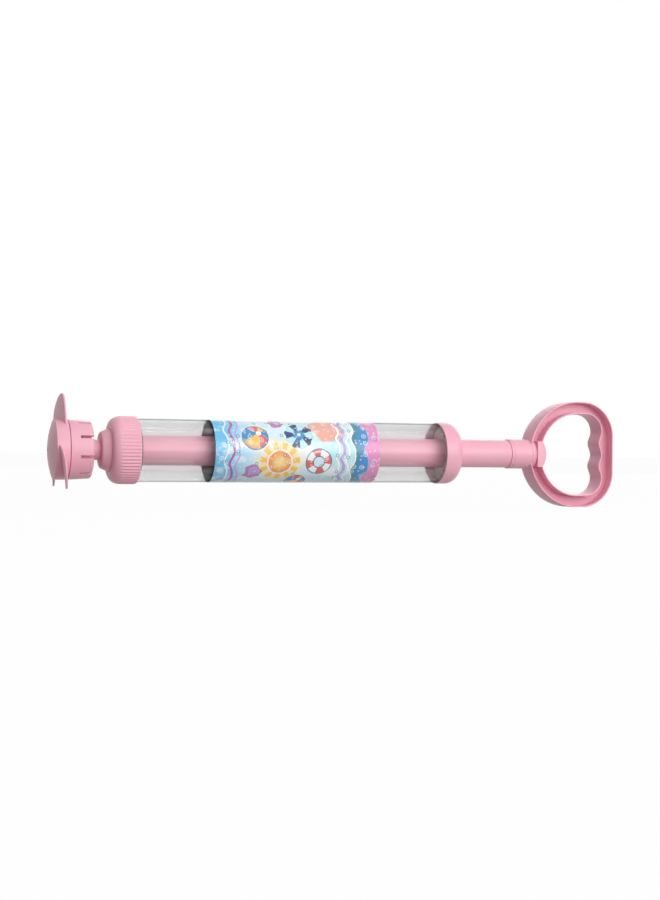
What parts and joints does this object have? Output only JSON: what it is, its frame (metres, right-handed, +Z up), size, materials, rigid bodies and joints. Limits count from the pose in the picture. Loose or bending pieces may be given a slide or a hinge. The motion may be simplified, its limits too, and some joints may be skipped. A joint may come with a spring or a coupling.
{
  "type": "water squirter",
  "caption": "Hand pump water squirter: clear barrel, ribbed screw collar, slotted push-on head with a bladed fan, and a plunger with a D-shaped pull handle.",
  "frame": {"origin": "centre of the water outlet's mouth, on the front of the fan's domed cover", "axes": "+X along the barrel from the outlet to the handle, +Z up in the plane of the D-shaped handle, -Y towards the side that the picture shows"},
  "size_m": [0.3895, 0.0628, 0.073],
  "materials": {
    "pink_plastic": "moulded pink plastic with a soft gloss",
    "deep_pink_plastic": "moulded pink plastic, inner parts",
    "clear_plastic": "clear polished tube",
    "printed_film": "printed glossy film with waves, bubbles and splashes",
    "seal_rubber": "soft black rubber",
    "white_plastic": "white low-friction plastic",
    "steel": "plain stainless steel"
  },
  "bodies": {
    "barrel": {"barrel_tube": "clear_plastic", "printed_sleeve": "printed_film", "rear_cap": "pink_plastic", "rod_guide": "white_plastic"},
    "nozzle": {"nozzle": "pink_plastic", "nozzle_washer": "seal_rubber", "spigot_seal": "seal_rubber"},
    "collar": {"front_collar": "pink_plastic"},
    "fan_head": {"fan_seat": "pink_plastic", "fan_spindle": "steel", "thrust_washer": "white_plastic", "spindle_clip": "steel"},
    "fan": {"rotor": "pink_plastic", "rotor_cover": "pink_plastic"},
    "rings": {"piston_rings": "seal_rubber"},
    "plunger": {"push_rod": "pink_plastic", "piston": "deep_pink_plastic", "bumper_ring": "seal_rubber", "rod_end_plug": "deep_pink_plastic", "handle": "pink_plastic", "handle_screw": "steel", "screw_plug": "pink_plastic"}
  },
  "joints": [
    {"name": "nozzle_lift", "type": "slide", "parent": "barrel", "child": "nozzle", "axis": [-1, 0, 0], "range_m": [0, 0.0075]},
    {"name": "collar_turn", "type": "hinge", "parent": "nozzle", "child": "collar", "pos_m": [0.045, 0, 0], "axis": [-1, 0, 0], "range_deg": [0, 900]},
    {"name": "head_pull", "type": "slide", "parent": "nozzle", "child": "fan_head", "axis": [-1, 0, 0], "range_m": [0, 0.012]},
    {"name": "fan_spin", "type": "hinge", "parent": "fan_head", "child": "fan", "pos_m": [0.0075, 0, 0], "axis": [1, 0, 0], "continuous": true},
    {"name": "plunger_pull", "type": "slide", "parent": "barrel", "child": "rings", "axis": [1, 0, 0], "range_m": [0, 0.2054]},
    {"name": "plunger_turn", "type": "hinge", "parent": "rings", "child": "plunger", "pos_m": [0.05, 0, 0], "axis": [1, 0, 0], "continuous": true}
  ],
  "couplings": [
    {"joint": "collar_turn", "follows": "nozzle_lift", "rad_per_m": 2094.4}
  ]
}
